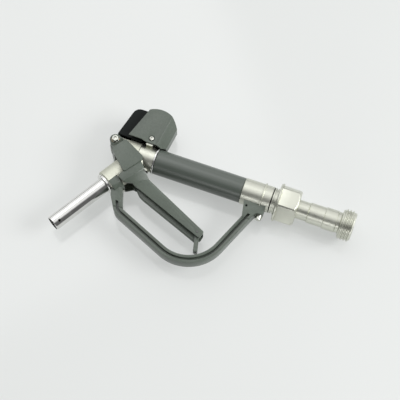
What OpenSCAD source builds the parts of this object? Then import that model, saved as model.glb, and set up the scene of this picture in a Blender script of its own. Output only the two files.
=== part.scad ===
// Hand-held filling nozzle for liquids: a trigger valve in a bent steel body, with a
// straight spout, a sleeved grip, a trigger guard and a swivelling threaded inlet.
// The grip axis is X, the spout and the trigger lie in the XY plane, and Z is the
// direction across the nozzle. All sizes are in millimetres.

/* [Body] */
// Angle between the grip and the spout, in degrees
bend_angle = 120; // [116:1:124]
// Outer diameter of the elbow, its branch and the neck
body_d = 35.6; // [34.6:0.2:36.2]
// Length of the branch, from the bend to its end
branch_len = 64; // [60:1:70]
// Length of the neck between the seam and the grip
neck_len = 24; // [23:0.5:26]
// Height of the flat on top of the barrel, above the grip axis
barrel_flat = 16; // [15:0.5:17]

/* [Spout] */
// Outer diameter of the spout tube
spout_d = 22; // [20:0.5:24]
// Wall of the spout tube
spout_wall = 1.4; // [1:0.1:2]
// Distance from the bend to the spout's tip
spout_reach = 158.8; // [130:1:200]

/* [Grip] */
// Outer diameter of the grip sleeve
grip_d = 36.4; // [34:0.2:37]
// Length of the grip sleeve
grip_len = 130; // [126:1:136]
// Outer diameter of the bright ring in front of the grip
front_ring_d = 40; // [38:0.5:40.5]
// Outer diameter of the grip tube inside the sleeve
tube_d = 28.4; // [27.5:0.1:29]

/* [Inlet] */
// Outer diameter of the rear collar
collar_d = 37.6; // [36:0.2:39]
// Length of the rear collar
collar_len = 42.5; // [40:0.5:46]
// Diameter of the swivel's flange
flange_d = 55; // [52:0.5:58]
// Width of the union nut across its flats
nut_af = 48; // [46:0.5:50]
// Length of the union nut
nut_len = 27; // [25:0.5:30]
// Length of the adapter between the nut and the thread
adapter_len = 62.5; // [50:1:80]
// Outer diameter of the inlet thread
thread_d = 44; // [40:0.5:46]
// Length of the inlet thread
thread_len = 19; // [16:0.5:24]
// Diameter of the passage through the inlet
bore_d = 21; // [18:0.5:22]

/* [Trigger] */
// Distance of the pivot in front of the bend
pivot_reach = 42; // [41:0.5:44]
// Height of the pivot above the grip axis
pivot_rise = 7.4; // [6.5:0.1:7.6]
// Slope of the trigger's top edge against the grip, in degrees
lever_angle = 25.5; // [25:0.25:27]
// Length of the trigger's top edge
lever_len = 137; // [130:1:140]
// Width of the trigger
lever_w = 20; // [19:0.5:22]
// Width across the lever's cheeks
cheek_w = 45; // [44:0.5:47]
// Trigger travel, in degrees
travel = 8; // [6:0.5:8]
// Distance of the valve stem behind the bend
stem_x = 11.5; // [11:0.25:12]

/* [Guard] */
// Thickness of the guard in its own plane
guard_t = 11.5; // [10:0.5:13]
// Width of the guard across the nozzle
guard_w = 18; // [16:0.5:20]
// Slope of the guard's long bar, in degrees
bar_angle = 23; // [22:0.5:24]
// Slope of the guard's rear leg, in degrees
leg_angle = 68; // [66:0.5:70]
// Radius of the guard's lower bend
bow_r = 55; // [50:1:58]

/* [Hood] */
// Width of the hood
hood_w = 44; // [43.6:0.2:46]
// Height of the hood's crown above the grip axis
hood_top = 69.3; // [66:0.5:72]
// Radius of the hood's crown
crown_r = 32.5; // [31:0.5:35]
// Lean of the hood's front edge against the grip, in degrees
hood_lean = 72.9; // [71:0.5:75]
// Lean of the hood's rear faces against the grip, in degrees
rear_lean = 83.6; // [82:0.2:85]
// Sheet thickness of the hood and the shield
sheet = 2.5; // [2:0.1:2.6]

/* [Hidden] */
$fn = 72;
fit = 0.05;
steel = [0.80, 0.80, 0.77];
cast_steel = [0.82, 0.82, 0.76];
bright = [0.88, 0.88, 0.87];
paint = [0.26, 0.28, 0.27];
sleeve_grey = [0.17, 0.18, 0.18];
shade_black = [0.08, 0.09, 0.09];
zinc_yellow = [0.72, 0.58, 0.36];
bronze = [0.66, 0.47, 0.22];
rubber_black = [0.06, 0.06, 0.06];

// stations along the grip axis, from the bend
body_r = body_d / 2;
barrel_x = -21;
seam_x = -3.5;
neck_end = seam_x + neck_len;
ring_len = 2.5;
grip_x = neck_end + ring_len;
grip_end = grip_x + grip_len;
ridge_x = grip_end + 28;
gap_x = grip_end + collar_len;
swivel_x = gap_x + 0.6;
flange_x = swivel_x + 7;
nut_x = flange_x + 3.5;
nut_end = nut_x + nut_len;
thread_x = nut_end + adapter_len;
inlet_end = thread_x + thread_len;

// radii
spout_r = spout_d / 2;
spout_seat = spout_r - 0.15;
seat_len = 34;
grip_r = grip_d / 2;
tube_r = tube_d / 2;
tube_bore = tube_r - 2.2;
collar_r = collar_d / 2;
bore_r = bore_d / 2;
thread_r = thread_d / 2;
spigot_r = 14;
union_r = 19;
head_r = 18.4;
pipe_r = 13.5;
pipe_mid_r = 14.6;
pipe_end_r = 15.6;
groove_first = 19;
groove_next = 27;
groove_at = [grip_end + groove_first, grip_end + groove_next];
race_r = 1.5;
race_x = gap_x - 6;
ball_count = 14;
head_x = nut_x + 15.5;

// trigger and valve
pivot = [-pivot_reach, pivot_rise];
pivot_r = 4;
ear_r = 8;
ear_in = 7.2;
ear_out = 13.4;
lug_w = 2 * (ear_in - 0.3);
clear_r = body_r + 0.6;
cheek = cheek_w / 2;
cheek_a = [-26, 9];
cheek_b = [-40.4, -11];
cheek_c = [-11, -38.5];
cheek_d = [8.9, -9];
lever_dir = [cos(lever_angle), -sin(lever_angle)];
lever_root = [-0.5, -20.7];
lever_tip = lever_root + lever_len * lever_dir;
lever_half = lever_w / 2;
flange_t = 3;
tip_drop = 12;
web_start = 24;
beam_low = [5.4, -47.3];
hollow = 2.2;
low_dir = unit(lever_tip + [-2.7, -tip_drop] - beam_low);
low_up = [-low_dir[1], low_dir[0]];
push_r = 3.5;
push_y = -37;
push_x = stem_x - (pivot_rise - push_y) * sin(travel) / 2 + 0.25;
stem_r = 2.5;
stem_end = push_y + push_r + 0.3;
button_r = 4.2;
gland_r = 5.5;
gland_low = -22.6;
boss_r = 8.8;
cap_bore = 8;
seat_top = 0;
cap_y = 24;
lug_at = [7.7, 22.3];

// latch
latch_at = lever_root + (lever_len - 6.5) * lever_dir + [-0.42, -0.9] * 7.2;
latch_pin_r = 1.6;
latch_angle = -76.5;
latch_half = lever_half - flange_t - 1.6;
latch_gap = 4.2;
latch_t = 1.7;

// guard
bar_dir = [cos(bar_angle), -sin(bar_angle)];
leg_dir = [cos(leg_angle), sin(leg_angle)];
guard_a = [-1, -90.5];
guard_b = [grip_end + 17, -41];
guard_v = guard_b - guard_a;
bar_full = (guard_v[0] * leg_dir[1] - guard_v[1] * leg_dir[0])
           / (bar_dir[0] * leg_dir[1] - bar_dir[1] * leg_dir[0]);
corner_r = 14;
bow_turn = bar_angle + leg_angle;
bow_centre = guard_a + (bar_full - bow_r * tan(bow_turn / 2)) * bar_dir
             + bow_r * [sin(bar_angle), cos(bar_angle)];
latch_from = latch_at - bow_centre;
latch_run = latch_from * [cos(latch_angle), sin(latch_angle)];
latch_len = sqrt(latch_run * latch_run - latch_from * latch_from
                 + pow(bow_r - guard_t / 2, 2)) - latch_run - latch_gap;
front_angle = 66;
foot_t = branch_len - 8;
foot_len = 15;
foot_thick = 4.5;
spot_d = body_r + foot_thick - 0.5;
rear_screw_x = grip_end + 33;

// hood
hood_half = hood_w / 2;
hood_foot = [-25.2, 17.4];
hood_crease = [18.6, 18.7];
hood_deep = 11.5;
hood_back = 8;
hood_low = 15;
crown = [6.5, hood_top - crown_r];
shield_half = 14;
shield_top = hood_top - 5.3;
shield_lean = hood_lean + 4.1;
shield_ahead = 16.8;
shield_foot = hood_foot[0] - shield_ahead;
shield_low = 17;

function unit(v) = v / norm(v);

// A polygon's corner as an arc of radius r, in n steps
function arc_corner(a, p, b, r, n) =
  let (u = unit(a - p), w = unit(b - p))
  let (half = acos(u * w) / 2)
  let (c = p + unit(u + w) * r / sin(half))
  let (v0 = p + u * r / tan(half) - c, v1 = p + w * r / tan(half) - c)
  let (turn = 180 - 2 * half)
  [for (k = [0:n]) c + (v0 * sin(turn * (1 - k / n)) + v1 * sin(turn * k / n)) / sin(turn)];

// A closed outline with one corner radius for each point
function soft(pts, radii, n = 5) =
  let (m = len(pts))
  [for (i = [0:m - 1])
    for (q = radii[i] > 0
             ? arc_corner(pts[(i + m - 1) % m], pts[i], pts[(i + 1) % m], radii[i], n)
             : [pts[i]])
      q];

// Places the bend so that the origin is the centre of the inlet's end face
module placed() {
  translate([-inlet_end, 0, 0])
    children();
}

// Local +Z runs along the grip axis from station x
module on_grip(x = 0) {
  translate([x, 0, 0])
    rotate([0, 90, 0])
      children();
}

// Local +Z runs along the spout axis from distance t
module on_spout(t = 0) {
  rotate([0, 0, -bend_angle])
    translate([t, 0, 0])
      rotate([0, 90, 0])
        children();
}

// Local +Z runs upwards along the valve axis from height y
module on_valve(y = 0) {
  translate([stem_x, y, 0])
    rotate([-90, 0, 0])
      children();
}

// A plate with the given outline, from z0 to z1, and its mirror image
module pair_plate(z0, z1) {
  for (s = [0, 1])
    mirror([0, 0, s])
      translate([0, 0, z0])
        linear_extrude(z1 - z0)
          children();
}

// A plate with the given outline, centred across the nozzle
module mid_plate(w) {
  translate([0, 0, -w / 2])
    linear_extrude(w)
      children();
}

// A prism along an edge from p to q; its section is [distance to the left, z]
module edge_prism(p, q) {
  run = q - p;
  translate([p[0], p[1], 0])
    rotate([0, 0, atan2(run[1], run[0])])
      rotate([90, 0, 90])
        linear_extrude(norm(run))
          children();
}

module ring_solid(r_in, r_out, h) {
  difference() {
    cylinder(r = r_out, h = h);
    translate([0, 0, -1])
      cylinder(r = r_in, h = h + 2);
  }
}

module torus(r, section) {
  rotate_extrude()
    translate([r, 0])
      circle(section, $fn = 36);
}

// spout side

module spout_tube() color(bright) placed()
  difference() {
    on_spout(branch_len - 18)
      rotate_extrude()
        polygon([
          [spout_r - spout_wall, 0],
          [spout_seat, 0],
          [spout_seat, seat_len],
          [spout_r, seat_len],
          [spout_r, spout_reach - branch_len + 17.4],
          [spout_r - 0.6, spout_reach - branch_len + 18],
          [spout_r - spout_wall, spout_reach - branch_len + 18]]);
    on_spout(spout_reach - 9)
      rotate([0, 0, 150])
        rotate([0, 90, 0])
          cylinder(r = 2, h = spout_r + 2);
  }

module spout_ring() color(bright) placed()
  on_spout(branch_len)
    rotate_extrude()
      polygon([
        [spout_seat + fit, 0],
        [spout_r + 4.6, 0],
        [spout_r + 4.6, 3],
        [spout_r + 3.6, 4],
        [spout_seat + fit, 4]]);

module spout_seal() color(rubber_black) placed()
  on_spout(branch_len - 4)
    torus(spout_seat + 1.05, 1);

module spout_elbow() color(cast_steel) placed()
  difference() {
    union() {
      on_grip(barrel_x)
        cylinder(r1 = body_r - 1.5, r2 = body_r, h = 1.5);
      on_grip(barrel_x + 1.5)
        cylinder(r = body_r, h = seam_x - barrel_x - 1.5);
      on_spout(0)
        cylinder(r = body_r, h = branch_len - 1.5);
      on_spout(branch_len - 1.5)
        cylinder(r1 = body_r, r2 = body_r - 1.5, h = 1.5);
      translate([pivot[0], pivot[1], -lug_w / 2])
        cylinder(r = ear_r, h = lug_w);
      translate([pivot[0], pivot[1] - ear_r, -lug_w / 2])
        cube([pivot_reach - 12, 2 * ear_r, lug_w]);
    }
    // neck of the valve body and its spigot
    on_grip(seam_x)
      cylinder(r = body_r + fit, h = 60);
    on_grip(seam_x - 5)
      cylinder(r = 13 + fit, h = 6);
    // flat on top, where the shield stands
    translate([barrel_x - 1, barrel_flat, -30])
      cube([40, 30, 60]);
    // passage
    on_spout(0)
      cylinder(r = spout_r - spout_wall, h = branch_len + 1);
    sphere(r = spout_r - spout_wall + 0.3);
    on_spout(branch_len - 18)
      cylinder(r = spout_seat + fit, h = 20);
    on_spout(branch_len - 4)
      torus(spout_seat + 1, 1.1);
    // room for the gland beside the branch
    on_valve(-45)
      cylinder(r = gland_r + 0.8, h = 40);
    // pivot bore
    translate([pivot[0], pivot[1], -20])
      cylinder(r = pivot_r + 0.02, h = 40);
    // tapped holes
    shield_screw_holes();
    front_screw_hole();
  }

module shield_screw_holes() {
  for (s = [-1, 1])
    translate([-14, barrel_flat - 6, s * 5.5])
      rotate([-90, 0, 0])
        cylinder(r = 2, h = 12);
}

module front_screw_hole() {
  rotate([0, 0, -bend_angle])
    translate([foot_t - 1, spout_r + 1.6, 0])
      rotate([-90, 0, 0])
        cylinder(r = 2.5, h = body_r + 10);
}

// valve

module valve_body() color(steel) placed()
  difference() {
    union() {
      on_grip(seam_x - 5 + 0.2)
        cylinder(r = 13, h = 6);
      on_grip(seam_x)
        cylinder(r1 = body_r - 0.7, r2 = body_r, h = 0.7);
      on_grip(seam_x + 0.7)
        cylinder(r = body_r, h = neck_len - 0.7);
      on_grip(neck_end - 1)
        cylinder(r = tube_bore - fit, h = 21);
      on_valve(0)
        cylinder(r = boss_r, h = cap_y);
      on_valve(-20)
        cylinder(r = gland_r, h = 20);
      for (s = [-1, 1])
        translate([lug_at[0], lug_at[1], s > 0 ? 10.6 : -hood_half + sheet + fit]) {
          cylinder(r = 4.7, h = hood_half - sheet - fit - 10.6);
          translate([-4.7, -10, 0])
            cube([9.4, 10, hood_half - sheet - fit - 10.6]);
        }
    }
    // passage from the grip into the upper chamber
    on_grip(neck_end + 3)
      cylinder(r = 8.5, h = 40);
    translate([0, 6.5, 0])
      on_grip(stem_x)
        cylinder(r = 4.6, h = 20);
    // upper chamber, seat bore and lower chamber
    on_valve(seat_top - 4)
      cylinder(r = cap_bore, h = 40);
    on_valve(-12)
      cylinder(r = 6.5, h = 12);
    // passage from the lower chamber to the elbow
    translate([0, -6.5, 0])
      on_grip(seam_x - 10)
        cylinder(r = 4.2, h = stem_x - seam_x + 10);
    // stem bore and gland thread
    on_valve(-30)
      cylinder(r = stem_r + 0.06, h = 25);
    on_valve(-30)
      cylinder(r = 4.2, h = 14.5);
    hood_screw_holes();
  }

module hood_screw_holes() {
  for (s = [-1, 1])
    translate([lug_at[0], lug_at[1], s > 0 ? 12.5 : -42.5])
      cylinder(r = 2, h = 30);
}

module gland_nut() color(steel) placed()
  difference() {
    union() {
      on_valve(-20)
        cylinder(r = 4.15, h = 2.5);
      on_valve(gland_low)
        cylinder(r = gland_r, h = -20 - gland_low, $fn = 6);
    }
    on_valve(gland_low - 1)
      cylinder(r = stem_r + 0.06, h = 20);
  }

module stem_packing() color(rubber_black) placed()
  on_valve(-17.4)
    ring_solid(stem_r + 0.06, 4.15, 1.8);

module seat_ring() color(steel) placed()
  difference() {
    on_valve(seat_top - 3.95)
      cylinder(r = cap_bore - fit, h = 3.95);
    on_valve(seat_top - 6)
      cylinder(r = 5, h = 10);
  }

module valve_stem() color(bright) placed() {
  on_valve(stem_end)
    cylinder(r = button_r, h = 2.5);
  on_valve(stem_end + 2)
    cylinder(r = stem_r, h = seat_top + 8 - stem_end - 2);
}

module poppet_disc() color(steel) placed()
  difference() {
    on_valve(seat_top + 1.6)
      cylinder(r1 = 6.8, r2 = 6, h = 3);
    on_valve(seat_top)
      cylinder(r = stem_r + 0.02, h = 10);
  }

module poppet_seal() color(rubber_black) placed()
  on_valve(seat_top + 0.05)
    ring_solid(stem_r + 0.02, 6.6, 1.5);

// Half turns of a coil, each a flat half ring that climbs by half a pitch
module valve_spring() color(bright) placed() {
  wire = 0.6;
  coil_r = 4.6;
  turns = 6;
  low = seat_top + 4.65 + wire;
  high = cap_y + 4 - wire - fit;
  pitch = (high - low) / turns;
  climb = asin(pitch / 4 / coil_r);
  on_valve(low)
    for (k = [0:2 * turns - 1])
      translate([0, 0, (k + 0.5) * pitch / 2])
        rotate([0, 0, 180 * k])
          rotate([0, -climb, 0])
            rotate([0, 0, 180]) {
              rotate_extrude(angle = 180)
                translate([coil_r, 0])
                  circle(wire, $fn = 24);
              translate([coil_r, 0, 0])
                sphere(r = wire + 0.03, $fn = 24);
            }
}

module valve_cap() color(steel) placed()
  difference() {
    union() {
      on_valve(13)
        cylinder(r = cap_bore - fit, h = cap_y - 13 + 1.2);
      on_valve(cap_y + 1.2)
        cylinder(r = 10, h = 6.5, $fn = 6);
    }
    on_valve(12)
      cylinder(r = 5.6, h = cap_y + 4 - 12);
  }

module cap_seal() color(rubber_black) placed()
  on_valve(cap_y)
    ring_solid(cap_bore, boss_r, 1.2);

// grip

module grip_tube() color(steel) placed()
  on_grip(neck_end + 0.2)
    ring_solid(tube_bore, tube_r, grip_end - neck_end - 0.4);

module grip_sleeve() color(sleeve_grey) placed()
  on_grip(grip_x)
    rotate_extrude()
      polygon([
        [tube_r + fit, 0],
        [grip_r - 0.8, 0],
        [grip_r, 0.8],
        [grip_r, grip_len - 0.8],
        [grip_r - 0.8, grip_len],
        [tube_r + fit, grip_len]]);

module grip_front_ring() color(bright) placed()
  on_grip(neck_end)
    rotate_extrude()
      polygon([
        [tube_r + fit, 0],
        [front_ring_d / 2 - 0.6, 0],
        [front_ring_d / 2, 0.6],
        [front_ring_d / 2, ring_len - 0.6],
        [front_ring_d / 2 - 0.6, ring_len],
        [tube_r + fit, ring_len]]);

module collar_outside(grow = 0) {
  on_grip(0)
    rotate_extrude()
      polygon([
        [0, grip_end],
        [collar_r - 0.6 + grow, grip_end],
        [collar_r + grow, grip_end + 0.6],
        [collar_r + grow, ridge_x - grow],
        [collar_r + 1.8 + grow, ridge_x + 0.6 - grow],
        [collar_r + 1.8 + grow, ridge_x + 2.2 + grow],
        [collar_r + grow, ridge_x + 2.8 + grow],
        [collar_r + grow, gap_x - 0.6],
        [collar_r - 0.6 + grow, gap_x],
        [0, gap_x]]);
}

module rear_collar() color(steel) placed()
  difference() {
    union() {
      collar_outside();
      on_grip(grip_end - 16)
        cylinder(r = tube_bore - fit, h = 17);
    }
    on_grip(grip_end - 20)
      cylinder(r = 9.5, h = 60);
    on_grip(grip_end + 12)
      cylinder(r = spigot_r + fit, h = 60);
    on_grip(race_x)
      torus(spigot_r + 0.03, race_r + 0.06);
    rear_screw_hole(2.5);
  }

module rear_screw_hole(r) {
  translate([rear_screw_x, -(spigot_r + 2.6), 0])
    rotate([90, 0, 0])
      cylinder(r = r, h = 12);
}

// trigger

// Outlines as the lever sees them over its whole travel
module over_travel() {
  for (a = [0, travel / 2, travel])
    translate(pivot)
      rotate(-a)
        translate(-pivot)
          children();
}

module body_shadow() {
  over_travel() {
    translate([barrel_x - 0.6, -clear_r])
      square([70, 2 * clear_r]);
    rotate(-bend_angle)
      translate([-2, -clear_r])
        square([80, 2 * clear_r]);
  }
}

module lug_shadow() {
  translate(pivot)
    circle(ear_r + 0.6);
  over_travel()
    translate([pivot[0], pivot[1] - ear_r - 0.6])
      square([40, 2 * ear_r + 1.2]);
}

// Side outline of the part that joins the cheeks to the trigger
module shoulder_outline() {
  polygon(soft([
    cheek_d + [-4, -5],
    lever_root + 26 * lever_dir,
    lever_root + 30 * lever_dir + [0, -26],
    [5.4, -47.3],
    [-5, -52],
    [-16.5, -47],
    cheek_c + [-3, 0]],
    [0, 0, 0, 4, 6, 4, 0]));
}

// Side outline of the trigger, with a round tip
module beam_outline() {
  polygon(soft([
    lever_root,
    lever_tip,
    lever_tip + [-2.7, -tip_drop],
    beam_low],
    [0, 4, 3, 0]));
}

// Section of the trigger, set in by a wall: [upwards, z], open below
module beam_section(in, round_r) {
  half = lever_half - in;
  polygon(soft([[-60, -half], [-60, half], [-in, half], [-in, -half]], [0, 0, round_r, round_r]));
}

// Runs a section along the trigger's top edge
module beam_run(from) {
  translate([lever_root[0], lever_root[1], 0])
    rotate([0, 0, -lever_angle])
      translate([from, 0, 0])
        rotate([90, 0, 90])
          linear_extrude(lever_len + 20)
            children();
}

// The finger side is hollowed a little between its rims, and fully round the latch
module beam() {
  difference() {
    intersection() {
      beam_run(-2)
        beam_section(0, 4);
      mid_plate(60)
        beam_outline();
    }
    mid_plate(2 * (lever_half - flange_t) - 1)
      polygon([
        beam_low + 20 * low_dir,
        beam_low + 20 * low_dir + hollow * low_up,
        lever_tip + [-2.7, -tip_drop] - 14 * low_dir + hollow * low_up,
        lever_tip + [6, -tip_drop],
        lever_tip + [6, -tip_drop - 20],
        beam_low + 20 * low_dir - 20 * low_up]);
    beam_run(lever_len - 17)
      beam_section(flange_t, 2);
  }
}

module trigger_lever() color(paint) placed()
  difference() {
    union() {
      // cheeks
      mid_plate(cheek_w)
        polygon(soft([cheek_a, cheek_b, cheek_c, cheek_d], [3, 3, 3, 5]));
      // ears and the bevel from the cheeks down to them
      mid_plate(2 * ear_out) {
        translate(pivot)
          circle(ear_r);
        polygon([
          pivot + ear_r * [-0.88, -0.48],
          cheek_b + [0.5, 0],
          cheek_a + [0.5, 0],
          pivot + ear_r * [0.45, 0.89]]);
      }
      edge_prism(cheek_b + [1.6, 2.4], cheek_a - [1.6, 2.4])
        polygon([[-3, -cheek + 0.4], [-3, cheek - 0.4], [0, cheek - 0.4], [9, ear_out - 0.4],
          [9, -ear_out + 0.4], [0, -cheek + 0.4]]);
      // shoulders from the cheeks in to the trigger
      intersection() {
        edge_prism(cheek_c - [12, 15.5], cheek_d)
          shoulder_section();
        mid_plate(60)
          shoulder_outline();
      }
      beam();
    }
    mid_plate(2 * clear_r)
      body_shadow();
    // slots for the lug, the gland and the stem
    mid_plate(2 * ear_in) {
      lug_shadow();
      polygon([
        [stem_x - 14, -14],
        lever_root + web_start * lever_dir + [0, 16],
        lever_root + web_start * lever_dir + [-2, -40],
        [stem_x - 14, -60]]);
    }
    translate([pivot[0], pivot[1], -30])
      cylinder(r = 5.5 + 0.02, h = 60);
    translate([push_x, push_y, -lever_half + 1.2])
      cylinder(r = push_r + 0.01, h = lever_w - 2.4);
    translate([latch_at[0], latch_at[1], -20])
      cylinder(r = latch_pin_r + 0.01, h = 40);
  }

// Walls that lead from the cheek in to the trigger: [distance to the left, z]
module shoulder_section() {
  for (s = [-1, 1])
    polygon([
      [0.8, s * (clear_r + 2.1)],
      [-11.5, s * (clear_r + 1.8)],
      [-25, s * (lever_half - 0.6)],
      [-25, s * (lever_half - flange_t + 0.6)],
      [-11.5, s * (clear_r - 1.4)],
      [0.8, s * (clear_r - 1)]]);
}

module pivot_bushes() color(bronze) placed()
  for (s = [-1, 1])
    translate([pivot[0], pivot[1], s > 0 ? ear_in + 0.2 : -ear_out + 0.2])
      ring_solid(pivot_r + fit, 5.5, ear_out - ear_in - 0.4);

module push_pin() color(bright) placed()
  translate([push_x, push_y, -lever_half + 1.3])
    cylinder(r = push_r, h = lever_w - 2.6);

module pivot_bolt() color(bright) placed()
  translate([pivot[0], pivot[1], 0]) {
    translate([0, 0, -ear_out - 5.5])
      cylinder(r = pivot_r, h = 2 * ear_out + 6);
    translate([0, 0, ear_out + 0.3])
      cylinder(r = 5.2, h = 1.2);
    translate([0, 0, ear_out + 1.5])
      cylinder(r = 4.9, h = 3.2, $fn = 6);
  }

module pivot_nut() color(bright) placed()
  translate([pivot[0], pivot[1], -ear_out - 4.5])
    difference() {
      cylinder(r = 5.4, h = 4.2, $fn = 6);
      translate([0, 0, -1])
        cylinder(r = pivot_r + 0.01, h = 10);
    }

module latch_pin() color(bright) placed()
  translate([latch_at[0], latch_at[1], -lever_half - 0.6])
    cylinder(r = latch_pin_r, h = lever_w + 1.2);

module latch_clip() color(paint) placed()
  translate([latch_at[0], latch_at[1], 0])
    rotate([0, 0, latch_angle])
      difference() {
        union() {
          pair_plate(latch_half - latch_t, latch_half) {
            circle(3.7);
            translate([0, -3])
              square([latch_len - 2, 6]);
          }
          translate([latch_len - 4, 0, -latch_half - 0.2])
            cylinder(r = 3.2, h = 2 * latch_half + 0.4);
        }
        translate([0, 0, -20])
          cylinder(r = latch_pin_r + fit, h = 40);
      }

// hood

// Section across the hood, from the crease: [towards the back, z]
module hood_section(in = 0) {
  polygon([
    [-70, -hood_half + in],
    [-in * 0.4, -hood_half + in],
    [hood_deep - in, -hood_back + in * 0.4],
    [hood_deep - in, hood_back - in * 0.4],
    [-in * 0.4, hood_half - in],
    [-70, hood_half - in]]);
}

module hood_run(in = 0) {
  translate([hood_crease[0], hood_crease[1], 0])
    rotate([0, 0, rear_lean - 90])
      translate([0, -40, 0])
        rotate([-90, 0, 0])
          linear_extrude(120)
            hood_section(in);
}

module hood_shell() color(paint) placed()
  difference() {
    intersection() {
      hood_run();
      mid_plate(60)
        hood_outline();
    }
    intersection() {
      hood_run(sheet);
      mid_plate(60)
        crown_outline(crown_r - sheet);
    }
    // saddle over the front ring and the grip
    on_grip(neck_end - 1.5)
      cylinder(r = front_ring_d / 2 + 0.5, h = 60);
    // screw holes with a shallow recess
    for (s = [0, 1])
      mirror([0, 0, s])
        translate([lug_at[0], lug_at[1], 0]) {
          cylinder(r = 2.2, h = 40);
          translate([0, 0, hood_half - 1])
            cylinder(r = 4.6, h = 5);
        }
  }

// Everything below the crown
module crown_outline(r) {
  translate(crown)
    circle(r, $fn = 144);
  translate([crown[0] - 60, crown[1] - 60])
    square([60 + r, 60]);
}

// Side outline of the hood: a straight front edge, a round crown and a stepped foot
module hood_outline() {
  lean = [cos(hood_lean), sin(hood_lean)];
  intersection() {
    crown_outline(crown_r);
    polygon(soft([
      hood_foot,
      hood_foot + 70 * lean,
      [70, 90],
      [70, hood_low],
      [lug_at[0] - 6, hood_low],
      [lug_at[0] - 14, hood_foot[1]]],
      [0, 0, 0, 0, 2, 2]));
  }
}

module hood_screws() color(bright) placed()
  for (s = [0, 1])
    mirror([0, 0, s])
      translate([lug_at[0], lug_at[1], 0]) {
        translate([0, 0, 13])
          cylinder(r = 1.95, h = hood_half - 13);
        translate([0, 0, hood_half - 1 + 0.02])
          cylinder(r1 = 3.6, r2 = 3, h = 2);
      }

// Side outline of the shield: in front of the hood's edge, and under its crown behind it
module shield_outline(in = 0) {
  lean = [cos(shield_lean), sin(shield_lean)];
  foot = [shield_foot + in, shield_low];
  head = foot + lean * (shield_top - in - shield_low) / lean[1];
  intersection() {
    polygon(soft([
      foot - (in > 0 ? lean * 9 : [0, 0]),
      head,
      [2 + (in > 0 ? 20 : 0), shield_top - in],
      [-5 + (in > 0 ? 27 : 0), shield_low - (in > 0 ? 9 : 0)]],
      [0, 11 - in, 0, 0]));
    union() {
      crown_outline(crown_r - sheet - 0.6 - in);
      translate(hood_foot + [in > 0 ? -0.5 : -0.9, 0])
        rotate(hood_lean)
          translate([-60, 0])
            square([160, 100]);
    }
  }
}

module inner_shield() color(shade_black) placed()
  difference() {
    union() {
      difference() {
        mid_plate(2 * shield_half)
          shield_outline();
        mid_plate(2 * (shield_half - sheet))
          shield_outline(sheet);
      }
      // foot on the barrel's flat
      translate([-20, barrel_flat, -shield_half + 1])
        cube([14, 2.6, 2 * shield_half - 2]);
      pair_plate(shield_half - sheet, shield_half)
        polygon([[-20, barrel_flat], [-6, barrel_flat], [-6, shield_low + 2], [-20, shield_low + 2]]);
    }
    shield_screw_holes();
  }

module shield_screws() color(zinc_yellow) placed()
  for (s = [-1, 1])
    translate([-14, barrel_flat, s * 5.5])
      rotate([-90, 0, 0]) {
        translate([0, 0, -5.5])
          cylinder(r = 1.95, h = 9);
        translate([0, 0, 2.6])
          cylinder(r = 4, h = 0.8);
        translate([0, 0, 3.4])
          cylinder(r = 3.4, h = 2.8, $fn = 6);
      }

// guard

// Turning point of a path, moved to the left by h, between directions d and e
function turned_out(p, d, e, h) =
  let (m = unit([-d[1] - e[1], d[0] + e[0]]))
  p + m * h / (m * [-d[1], d[0]]);

function to_left(p, d, h) = p + h * [-d[1], d[0]];

// Band of half width h along the guard's centre line
module guard_band(h) {
  front_dir = [cos(front_angle), -sin(front_angle)];
  bow = guard_a + bar_full * bar_dir;
  start = guard_a - 36 * front_dir;
  end = guard_b + 16 * leg_dir;
  polygon(soft([
    to_left(start, front_dir, h),
    turned_out(guard_a, front_dir, bar_dir, h),
    turned_out(bow, bar_dir, leg_dir, h),
    to_left(end, leg_dir, h),
    to_left(end, leg_dir, -h),
    turned_out(bow, bar_dir, leg_dir, -h),
    turned_out(guard_a, front_dir, bar_dir, -h),
    to_left(start, front_dir, -h)],
    [0, corner_r - h, bow_r - h, 0, 0, bow_r + h, corner_r + h, 0],
    18));
}

module guard_bow() color(paint) placed() {
  difference() {
    union() {
      mid_plate(guard_w)
        guard_band(guard_t / 2);
      // front leg, a broad strap that grows into the saddle on the branch
      mid_plate(20)
        polygon(soft([
          guard_a + [-21, 33],
          guard_a + [-17.4, 18],
          guard_a + [-8.5, 3.5],
          guard_a + [5.5, 5.5],
          guard_a + [1.2, 16],
          guard_a + [-5, 33]],
          [0, 12, 0, 0, 8, 0]));
      front_saddle();
      // rear foot under the collar
      mid_plate(20)
        polygon(soft([
          [grip_end + 6, -14],
          [grip_end + 9, -29],
          guard_b + [-5.5, 0],
          guard_b + [6, 0],
          [grip_end + 27.5, -29.5],
          [grip_end + 38, -28.5],
          [grip_end + 38, -14]],
          [0, 0, 0, 0, 6, 3, 0]));
    }
    // grooves along both sides
    intersection() {
      pair_plate(guard_w / 2 - 4.5, guard_w / 2 + 1)
        guard_band(1.9);
      mid_plate(60)
        polygon([[-20, -78], [60, -78], [guard_b[0] - 30, -34], [guard_b[0] + 40, -34],
          [guard_b[0] + 40, -220], [-60, -220]]);
    }
    // seats on the branch and the collar
    on_spout(-10)
      cylinder(r = body_r + 0.02, h = branch_len + 60);
    collar_outside(0.02);
    // screws
    front_screw_hole();
    rotate([0, 0, -bend_angle])
      translate([foot_t - 1, spot_d, 0])
        rotate([-90, 0, 0])
          cylinder(r = 5, h = 40);
    translate([rear_screw_x, -10, 0])
      rotate([90, 0, 0])
        cylinder(r = 2.6, h = 30);
    translate([rear_screw_x, -28.5, 0])
      rotate([90, 0, 0])
        cylinder(r = 5.7, h = 30);
    // cross hole in the rear foot
    translate([grip_end + 12.3, -23.5, -20])
      cylinder(r = 1.7, h = 40);
  }
}

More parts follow.
